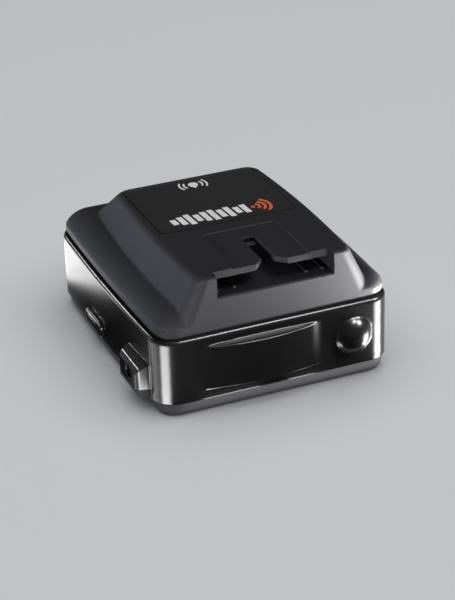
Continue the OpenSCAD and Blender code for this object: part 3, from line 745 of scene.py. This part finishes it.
def side_band():
    counts = (ARC_FRONT, 90, 26, 60, 10)
    nf, ns, nr, nb, _ = counts
    rows = stations(edge_profile(wall_levels(20)), nf, nf + ns + nr + nb + nr + ns, counts)
    for row in (rows[0], rows[-1]):
        row[:] = [(x, y + SEAM_GAP, z) for x, y, z in row]
    ob = fix_normals(loft("side_band_shell", rows))
    join(ob, socket_boss("boss", BOSS_SPLIT_Z + BOSS_GAP, 20))
    for hole in band_holes():
        cut(ob, hole)
    bevel(ob, 0.18, 3, 50)
    return finish(shade(ob, 30), "case", "gloss_band", "side_band")


def band_holes():
    """Cutters for the rocker, the service socket, the display window and the power socket."""
    rocker_y, rocker_z = (rocker_lo.y + rocker_hi.y) / 2, (rocker_lo.z + rocker_hi.z) / 2
    height = rocker_hi.z - rocker_lo.z + 0.6
    rocker = rounded(height, ROCKER_L + 0.8, height / 2 - 0.01, 12)
    usb_y, usb_z = (usb_lo.y + usb_hi.y) / 2, (usb_lo.z + usb_hi.z) / 2
    usb = rounded(usb_hi.z - usb_lo.z + 0.4, usb_hi.y - usb_lo.y + 0.4, 0.6)
    lens = rounded(DISPLAY_HALF * 2, DISPLAY_Z[1] - DISPLAY_Z[0], 1.2)
    return [wall_hole(rocker, (-HALF_W, rocker_y, rocker_z), "Y"),
            wall_hole(usb, (HALF_W, usb_y, usb_z), "Y"),
            wall_hole(lens, (0, BACK_Y, sum(DISPLAY_Z) / 2), "X"),
            socket_hole(-36)]


def wall_hole(outline, place, axis):
    """Cutter through an upright wall, its outline turned about an axis and centred on a place."""
    turn = Matrix.Rotation(math.radians(90), 4, axis)
    return moved(prism("hole", outline, -12, 12), Matrix.Translation(place) @ turn)


def socket_hole(end_x):
    return rod("hole", SOCKET_HOLE_R, (-50, SOCKET_Y, SOCKET_Z), (end_x, SOCKET_Y, SOCKET_Z), 64)


def socket_boss(name, low, high):
    """The power socket's boss between two heights: a block with sloped sides on the left wall."""
    y0, y1 = BOSS_Y
    outer = corners((-BOSS_X, -HALF_W), (y0 + 1.6, y1 - 0.7), (6, 12))
    middle = corners((0.9 - BOSS_X, -HALF_W), (y0 + 0.6, y1 - 0.1), (4.9, 13.6))
    root = corners((0.3 - HALF_W, 1.2 - HALF_W), (y0, y1 + 0.4), (4.8, 15))
    ob = bevel(hull(name, outer + middle + root), 0.35, 3, 12)
    limits = block("limits", (-HALF_W - 9, 0), (y0 - 5, y1 + 5), (low, high))
    return combine(ob, [limits], "INTERSECT")


def bulge(x, z):
    """How far the window stands out in front of the horn antenna."""
    radius = (BULGE_HALF ** 2 + BULGE_OUT ** 2) / (2 * BULGE_OUT)
    across = x - BULGE_X
    if abs(across) >= BULGE_HALF:
        return 0.0
    height = math.sqrt(radius ** 2 - across ** 2) - radius + BULGE_OUT
    height *= math.sin(min((BULGE_HALF - abs(across)) / BULGE_FADE, 1) * math.pi / 2)
    edge = min(max((BULGE_HALF_H + LEDGE_RUN / 2 - abs(z - BULGE_Z)) / LEDGE_RUN, 0), 1)
    return height * edge * edge * (3 - 2 * edge)


def dome(x, z):
    """How far the laser receiver's dome stands out."""
    radius = (DOME_R ** 2 + DOME_OUT ** 2) / (2 * DOME_OUT)
    away = math.hypot(x - DOME_X, z - DOME_Z)
    if away < DOME_R:
        return math.sqrt(radius ** 2 - away ** 2) - radius + DOME_OUT
    return DOME_FOOT_H * max(1 - (away - DOME_R) / DOME_FOOT_RUN, 0) ** 2


def front_window():
    counts = (24, 10, 10, 10, 250)
    nf, ns, nr, nb, nfront = counts
    total = 2 * (nf + ns + nr) + nb + nfront
    ledges = [BULGE_Z + side * BULGE_HALF_H + d * 0.1 for side in (-1, 1) for d in range(-5, 6)]
    between = [z for z in wall_levels(60) if all(abs(z - ledge) > 0.12 for ledge in ledges)]
    profile = edge_profile(sorted(between + ledges))
    rows = stations(profile, total - nfront - nf, total + nf, counts)
    limit = side_x(WINDOW_Y) - FRONT_R
    for row in rows:
        for i, (x, y, z) in enumerate(row):
            if y < FRONT_Y + 0.01 and abs(x) < limit:
                row[i] = (x, y - max(bulge(x, z), dome(x, z)), z)
    ob = fix_normals(loft("front_window_shell", rows))
    bevel(ob, 0.12, 2, 60)
    return finish(shade(ob, 40), "case", "window", "front_window")


# ---- bottom cover and its labels --------------------------------------------------------------


def bottom_cover():
    edge = [(BASE_INSET + BASE_R * (1 - math.cos(a)), BASE_R - BASE_R * math.sin(a))
            for a in np.linspace(math.pi / 2, 0, 10)]
    rings = [inset_ring(inset, max(z, 0)) for inset, z in edge] + [inset_ring(BASE_INSET, SEAM_Z - 0.05)]
    ob = loft("bottom_cover_shell", rings)
    cut(ob, loft("inner", [inset_ring(3, WALL), inset_ring(3, 9)]))
    join(ob, base_lap())
    join(ob, socket_boss("boss", SEAM_Z - 1, BOSS_SPLIT_Z - BOSS_GAP))
    cut(ob, socket_hole(-35))
    cut(ob, block("socket_room", (-HALF_W - 2.1, -30), (SOCKET_Y - 4.8, SOCKET_Y + 4.8),
                  (BOSS_SPLIT_Z - 1, 20)))
    cut(ob, *[rod("hole", SCREW_HOLE_R, (x, y, -1), (x, y, 3), 40) for x, y in CASE_SCREWS])
    cut(ob, *grille_slots())
    label = rounded(rating_hi.x - rating_lo.x + LABEL_GAP, rating_hi.y - rating_lo.y + LABEL_GAP, 1.2, 6,
                    (rating_lo.x + rating_hi.x) / 2, (rating_lo.y + rating_hi.y) / 2)
    cut(ob, prism("label", label, -1, 0.3))
    bevel(ob, 0.2, 2, 55)
    return finish(shade(ob), "case", "base_shell", "bottom_cover")


def base_lap():
    """Upright lap inside the band, open where the rocker's hub passes."""
    lap = loft("lap", [inset_ring(LAP_INSET, WALL - 0.5), inset_ring(LAP_INSET, SEAM_Z + 2)])
    cut(lap, loft("inner", [inset_ring(3.3, 0), inset_ring(3.3, 12)]))
    return cut(lap, block("gap", (-45, -30), (-2, 17.2), (SEAM_Z - 0.06, 12)))


def grille_slots():
    """Cutters for the loudspeaker's slots, whose ends lie on a circle."""
    middle = (speaker_lo + speaker_hi) / 2
    slots = []
    for i in range(-3, 4):
        offset = GRILLE_PITCH * i
        length = 2 * math.sqrt(GRILLE_R ** 2 - offset ** 2)
        slots.append(prism("slot", rounded(1.4, length, 0.69, 8, middle.x + offset, middle.y), -1, 4))
    return slots


def film(name, lo, hi, r, slot, node):
    """Thin label with round corners in the place of its CAD node."""
    middle = (lo + hi) / 2
    ob = prism(name, rounded(hi.x - lo.x, hi.y - lo.y, r, 10, middle.x, middle.y), lo.z, hi.z)
    bevel(ob, 0.05, 2)
    return finish(shade(ob), "case", slot, node)


# ---- keys, rocker, display --------------------------------------------------------------------


def key_cap(name):
    """Key cap round the origin: upright sides, a rounded edge and a slightly crowned top."""
    rings = [(0, KEY_LOW), (0, KEY_TOP - KEY_EDGE_R)]
    rings += [(KEY_EDGE_R * (1 - math.cos(a)), KEY_TOP - KEY_EDGE_R * (1 - math.sin(a)))
              for a in np.linspace(0.2, math.pi / 2, 6)]
    solid = [[(x, y, z) for x, y in rounded(KEY_W - 2 * i, KEY_L - 2 * i, KEY_R - i * 0.7, 8)]
             for i, z in rings]
    w, h, r = KEY_W - 2 * KEY_EDGE_R, KEY_L - 2 * KEY_EDGE_R, KEY_R - KEY_EDGE_R * 0.7
    for k in range(1, 6):
        u = 1 - k / 5.5
        z = KEY_TOP + KEY_CROWN * (1 - u * u)
        solid.append([(x, y, z) for x, y in rounded(w * u, h * u, r * u, 8)])
    return loft(name, solid)


def rear_key(name, x):
    ob = key_cap(name + "_cap")
    flange = prism("flange", rounded(KEY_W + 1.4, KEY_L + 1.4, 1), KEY_LOW - 0.6, KEY_LOW + 0.3)
    join(ob, flange, rod("stem", 1.4, (0, 0, -4.2), (0, 0, -2.6), 32))
    moved(ob, key_frame(x))
    return finish(shade(ob, 35), name.replace("_key", "_button"), "key_cap", name)


def rocker_rings(inner_x, middle, height):
    """Rings of the rocker's pill shape, from its inner end out over the rounded edge to the crown."""
    outline = rounded(height, ROCKER_L, height / 2 - 0.02, 14)
    face_x = rocker_lo.x

    def ring(x, inset, u=1):
        scale_y, scale_z = (ROCKER_L - 2 * inset) / ROCKER_L * u, (height - 2 * inset) / height * u
        return [(x, middle.y + q * scale_y, middle.z + p * scale_z) for p, q in outline]

    edge = [ring(face_x + ROCKER_SWELL + rest, inset) for inset, rest in quarter(ROCKER_CROWN, 9)]
    shrink = [1 - k / 4.5 for k in range(1, 5)]
    crown = [ring(face_x + ROCKER_SWELL * u * u, ROCKER_CROWN, u) for u in shrink]
    return [ring(inner_x, 0)] + edge + crown


def volume_rocker():
    """Pill-shaped key on the left wall, with its flange, arm and hub, and the feet for its switches."""
    middle = (rocker_lo + rocker_hi) / 2
    height = rocker_hi.z - rocker_lo.z
    inner_x = -HALF_W + WALL + 0.9
    ob = loft("volume_rocker_cap", rocker_rings(inner_x, middle, height))
    y, low, high = middle.y, middle.z - height / 2, middle.z + height / 2
    join(ob, block("flange", (inner_x - 0.1, inner_x + 1),
                   (y - ROCKER_L / 2 - 1.2, y + ROCKER_L / 2 + 1.2), (low, high)))
    join(ob, block("arm", (inner_x, PIVOT_X), (y - 1.5, y + 1.5), (low, high)))
    join(ob, rod("hub", 1.5, (PIVOT_X, y, low), (PIVOT_X, y, high), 40))
    for foot_y in (y - 6, y + 6):
        join(ob, block("foot", (inner_x + 0.5, inner_x + 3.2), (foot_y - 0.8, foot_y + 0.8),
                       (middle.z - 1, middle.z + 1.6)))
    cut(ob, rod("bore", 0.75, (PIVOT_X, y, 0), (PIVOT_X, y, 20), 40))
    return finish(shade(ob, 35), "volume_control", "rocker_cap", "volume_rocker")


def display_window():
    """Rear lens: a clear face that stands slightly proud, on a wider flange inside the wall."""
    upright = Matrix.Rotation(math.radians(-90), 4, "X")
    w, h = 2 * DISPLAY_HALF - 0.2, DISPLAY_Z[1] - DISPLAY_Z[0] - 0.2
    ob = prism("display_window_lens", rounded(w, h, 1.1, 8), -2.05, 0)
    join(ob, prism("flange", rounded(w + 3.2, h + 2.6, 1.1, 8), -3, -2.05))
    bevel(ob, 0.15, 3)
    moved(ob, Matrix.Translation((0, BACK_Y, sum(DISPLAY_Z) / 2)) @ upright)
    return finish(shade(ob), "case", "window", "display_window")


# ---- printed marks ----------------------------------------------------------------------------


def print_mark(name, shapes, z, body, slot, matrix=None, ink=INK):
    """Screen-printed marks: every outline becomes a thin raised patch, and all are one piece."""
    parts = [prism("patch", shape, z, z + ink) for shape in shapes]
    verts, faces = [], []
    for part in parts:
        base = len(verts)
        verts += [tuple(v.co / MM) for v in part.data.vertices]
        faces += [tuple(base + i for i in f.vertices) for f in part.data.polygons]
        bpy.data.objects.remove(part)
    ob = fix_normals(make(name, verts, faces))
    if matrix:
        moved(ob, matrix)
    return finish(ob, body, slot)


def ring_part(cx, cy, r, width, start, end, n=20):
    """Outline of a part of a ring, with angles in degrees."""
    outer = arc(cx, cy, r + width / 2, start, end, n) + arc(cx, cy, r + width / 2, end, end + 1, 1)
    inner = arc(cx, cy, r - width / 2, start, end, n) + arc(cx, cy, r - width / 2, end, end + 1, 1)
    return outer + inner[::-1]


def disc(cx, cy, r):
    return arc(cx, cy, r, 0, 360, 24)


def bar(x, y, w, h, slant=0.0):
    """Bar round a middle point, with its top shifted by slant."""
    low, high = y - h / 2, y + h / 2
    return [(x - w / 2, low), (x + w / 2, low), (x + w / 2 + slant, high), (x - w / 2 + slant, high)]


def label_marks():
    """Signal bars, a fan of waves and a map pin: generic marks where the real label has its own."""
    heights = (3.4, 5.4, 7.0, 4.6, 6.4, 7.2, 5.2, 6.8, 4.2, 5.8)
    bars = [bar(-15.0 + 2.5 * i, -4.8, 1.75, h, -0.35 * h / 6) for i, h in enumerate(heights)]
    print_mark("signal_bars", bars, label_hi.z, "case", "mark_white")
    fan = [ring_part(9.8, -4.7, r, 0.95, -48, 48) for r in (2.0, 3.7, 5.4)] + [disc(9.9, -4.7, 0.7)]
    print_mark("signal_fan", fan, label_hi.z, "case", "mark_orange")
    pin = [(0, 15.6)] + arc(0, 18.2, 1.55, -35, 215, 20) + [(-1.27, 17.3)]
    waves = [ring_part(0, 18.1, r, 0.55, a - 34, a + 34, 10) for r in (2.9, 4.3) for a in (0, 180)]
    print_mark("pin_mark", [pin] + waves, label_hi.z, "case", "mark_white")


def key_marks():
    """Menu lines, a skyline, a sun and a horn, standing a little proud of the keys' crowns."""
    lines = [bar(0, y, 2.4, 0.32) for y in (-0.75, 0, 0.75)]
    skyline = [bar(-1.05, -0.25, 0.6, 1.3), bar(-0.2, 0.1, 0.7, 2.0), bar(0.65, -0.15, 0.6, 1.5),
               bar(1.3, -0.45, 0.4, 0.9)]
    rays = [ring_part(0, 0, 1.15, 0.4, a - 9, a + 9, 3) for a in range(0, 360, 45)]
    sun = [disc(0, 0, 0.6)] + rays
    horn = [[(-1.2, -0.35), (-0.7, -0.35), (0, -0.9), (0, 0.9), (-0.7, 0.35), (-1.2, 0.35)],
            bar(0.9, 0, 0.26, 1.6), bar(0.45, 0, 0.26, 0.9)]
    icons = (("menu", lines), ("city", skyline), ("dimmer", sun), ("mute", horn))
    for (name, shapes), x in zip(icons, key_places()):
        print_mark(name + "_icon", shapes, KEY_TOP, name + "_button", "mark_white", key_frame(x), KEY_INK)


top_cover()
side_band()
front_window()
bottom_cover()
film("top_label_film", label_lo, label_hi, 1.6, "label_film", "top_label")
film("rating_label_film", rating_lo, rating_hi, 1.0, "rating_film", "rating_label")
for key, place in zip(("menu_key", "city_key", "dimmer_key", "mute_key"), key_places()):
    rear_key(key, place)
volume_rocker()
display_window()
label_marks()
key_marks()

# ---- stage, light and camera ------------------------------------------------------------------

CAMERA_AZIMUTH, CAMERA_ELEVATION, CAMERA_ROLL = -22.17, 27.12, -1.754
CAMERA_DISTANCE = 588.0
CAMERA_TARGET = Vector((2.8, 0.1, 9.8))
CAMERA_LENS = 116.44
LIGHT_TARGET = Vector((0, 0, 20))
WHITE = (1, 1, 1)
COOL_WHITE = (0.74, 0.8, 1)
STRIP_SPREAD = 160
STRIP_CARDS = ((5, 12), (12, 22), (22, 36), (36, 56))
GLOSSY_SLOTS = ("gloss_band", "window")

pieces = bpy.data.collections.new("detector_pieces")
glossy_pieces = bpy.data.collections.new("glossy_pieces")
matte_pieces = bpy.data.collections.new("matte_pieces")
marks = bpy.data.collections.new("marks")
backdrop = bpy.data.collections.new("backdrop")


def direction(azimuth, elevation):
    """Unit vector away from the object, with azimuth 0 in front and 90 at the right."""
    az, el = math.radians(azimuth), math.radians(elevation)
    return Vector((math.sin(az) * math.cos(el), -math.cos(az) * math.cos(el), math.sin(el)))


def camera():
    roll = math.radians(CAMERA_ROLL)
    back = direction(CAMERA_AZIMUTH, CAMERA_ELEVATION)
    right = (-back).cross(Vector((0, 0, 1))).normalized()
    up = right.cross(-back)
    right, up = right * math.cos(roll) + up * math.sin(roll), up * math.cos(roll) - right * math.sin(roll)
    data = bpy.data.cameras.new("camera")
    data.lens = CAMERA_LENS
    data.sensor_width = 36
    data.clip_start = 0.01
    ob = bpy.data.objects.new("camera", data)
    turn = Matrix((right, up, back)).transposed().to_4x4()
    ob.matrix_world = Matrix.Translation((CAMERA_TARGET + back * CAMERA_DISTANCE) * MM) @ turn
    scene.collection.objects.link(ob)
    scene.camera = ob


def area_light(name, place, way, size, brightness, colour=WHITE):
    """Area light facing along -way, its brightness given as radiance, so size and power go together."""
    data = bpy.data.lights.new(name, "AREA")
    data.shape = "RECTANGLE"
    data.size, data.size_y = size[0] * MM, size[1] * MM
    data.energy = brightness * math.pi * data.size * data.size_y
    data.color = colour
    ob = bpy.data.objects.new(name, data)
    ob.location = Vector(place) * MM
    ob.rotation_euler = Vector(way).to_track_quat("Z", "Y").to_euler()
    ob.visible_camera = False
    scene.collection.objects.link(ob)
    return ob


def lit_only(group, light):
    """Keeps a light to one collection of receivers."""
    light.light_linking.receiver_collection = group
    return light


def softbox(name, azimuth, elevation, distance, size, brightness, colour=WHITE):
    """Light aimed at the object from a direction."""
    way = direction(azimuth, elevation)
    return area_light(name, LIGHT_TARGET + way * distance, way, size, brightness, colour)


def reflector(name, x, y, size, azimuth, brightness):
    """Bright card lying on the floor with its long side along an azimuth, which only the object sees."""
    ob = area_light(name, (x, y, 0.3), (0, 0, 1), size, brightness)
    ob.rotation_euler = (math.pi, 0, math.radians(azimuth))
    return lit_only(pieces, ob)


def corner_strip(name, side, low, high, brightness):
    """Cards that a round front corner reflects as one upright strip.

    side is -1 for the left corner. low and high are the azimuths of the wall's normal at the
    strip's edges.
    """
    centre = Vector((side * (side_x(WINDOW_Y) - FRONT_R), WINDOW_Y))

    def seen(normal_azimuth, reach):
        out, way = (direction(a, 0).xy for a in (normal_azimuth, 2 * normal_azimuth - CAMERA_AZIMUTH))
        return centre + FRONT_R * out + reach * way

    for i, (near, far) in enumerate(STRIP_CARDS):
        a, b = (seen(n, (near + far) / 2) for n in (low, high))
        x, y = (a + b) / 2
        size = ((a - b).length, far - near)
        card = reflector(f"{name}_{i}", x, y, size, low + high - CAMERA_AZIMUTH, brightness)
        card.data.spread = math.radians(STRIP_SPREAD)
        lit_only(glossy_pieces, card)


def flag(name, outline):
    """Black card on the floor that only reflections see, so the glossy walls look dark."""
    ob = prism(name, outline, 0.1, 0.15)
    mat, _, shader = new_material(name)
    shader.inputs["Base Color"].default_value = (0.004, 0.004, 0.004, 1)
    shader.inputs["Roughness"].default_value = 0.9
    shader.inputs["Specular IOR Level"].default_value = 0
    ob.data.materials.append(mat)
    ob.visible_camera = ob.visible_diffuse = ob.visible_shadow = False


def floor():
    ob = prism("floor", rounded(6000, 6000, 200, 8), -10, -0.02)
    mat, tree, shader = new_material("floor_paint")
    shader.inputs["Roughness"].default_value = 0.8
    shader.inputs["Specular IOR Level"].default_value = 0.2
    grain = tree.nodes.new("ShaderNodeTexNoise")
    grain.inputs["Scale"].default_value = 6
    tone = blend(tree, grain.outputs["Fac"], (0.8, 0.805, 0.81), (0.82, 0.825, 0.83))
    tree.links.new(tone, shader.inputs["Base Color"])
    ob.data.materials.append(mat)


def world():
    scene.world = bpy.data.worlds.new("studio")
    scene.world.use_nodes = True
    sky = scene.world.node_tree.nodes["Background"]
    sky.inputs["Color"].default_value = (0.85, 0.9, 1.0, 1)
    sky.inputs["Strength"].default_value = 0.05


camera()
floor()
world()
scene.view_settings.view_transform = "Standard"

# The floor's light, and soft light for the whole object.
lit_only(backdrop, softbox("floor_light", 20, 82, 1500, (3000, 3000), 1.15))
lit_only(pieces, softbox("overhead", 20, 82, 900, (600, 600), 0.8))
lit_only(marks, softbox("mark_light", 20, 82, 900, (600, 600), 2.8))
lit_only(pieces, softbox("key", 150, 50, 900, (300, 300), 1))

# Softboxes that the satin cover or the glossy walls reflect, each kept to the one that it is for.
lit_only(matte_pieces, softbox("glow", 156, 27.5, 290, (40, 40), 1.1))
lit_only(matte_pieces, softbox("back_left", -121, 5, 310, (120, 60), 11, COOL_WHITE))
lit_only(matte_pieces, softbox("outline", -151, 20, 800, (90, 70), 22))
lit_only(glossy_pieces, softbox("band_edge", -151, 20, 800, (70, 50), 110))
lit_only(matte_pieces, softbox("front_top", 36, 55, 700, (200, 90), 10))
lit_only(glossy_pieces, softbox("front_ledge", 36, 56, 700, (170, 45), 130))
lit_only(matte_pieces, softbox("front_low", 21, 5, 700, (240, 60), 70))
lit_only(matte_pieces, softbox("left_low", -54, 5, 700, (120, 80), 110))
sparkle = lit_only(glossy_pieces, softbox("sparkle", 55, 38, 700, (160, 160), 70))
sparkle.data.shape = "DISK"
lit_only(matte_pieces, softbox("right_low", 80, 8, 700, (160, 200), 8))

# Cards on the floor for the reflections low on the walls, and black ones for the dark between them.
corner_strip("left_strip", -1, -51, -32, 18)
corner_strip("left_faint", -1, -82, -60, 2)
corner_strip("right_strip", 1, 11, 28, 24)
reflector("left_wall", -62, 74, (50, 60), 45, 3.2)
reflector("left_wall_edge", -60, 72, (56, 60), 45, 0.4)
lit_only(matte_pieces, reflector("hump_corner", 86, -62, (30, 50), 72, 200))
lit_only(matte_pieces, reflector("base_front", 3, -49, (62, 4), 0, 8))
lit_only(glossy_pieces, reflector("crescent_left", -13, -46.2, (17, 2), 0, 18))
lit_only(glossy_pieces, reflector("crescent_right", 9, -46.2, (8, 2), 0, 18))
lit_only(matte_pieces, reflector("rocker_light", -58, 46, (9, 9), 45, 25))
flag("front_flag", [(-50, -47), (44, -47), (160, -90), (260, -400), (-400, -400), (-200, -90)])
flag("left_flag", [(-140, -60), (-44, -38), (-39, 0), (-39, 60), (-60, 66), (-140, 20)])

for node, ob in frame["nodes"].items():
    slot = next(p["material_slot"] for p in frame["record"]["subparts"] if p["node"] == node)
    ob.data.materials.clear()
    ob.data.materials.append(material(slot))
for ob in bpy.data.objects:
    if ob.type == "MESH" and ob.name not in ("floor", "front_flag", "left_flag"):
        slot = ob.data.materials[0].name
        pieces.objects.link(ob)
        (glossy_pieces if slot in GLOSSY_SLOTS else matte_pieces).objects.link(ob)
        if slot.startswith("mark_"):
            marks.objects.link(ob)
backdrop.objects.link(bpy.data.objects["floor"])
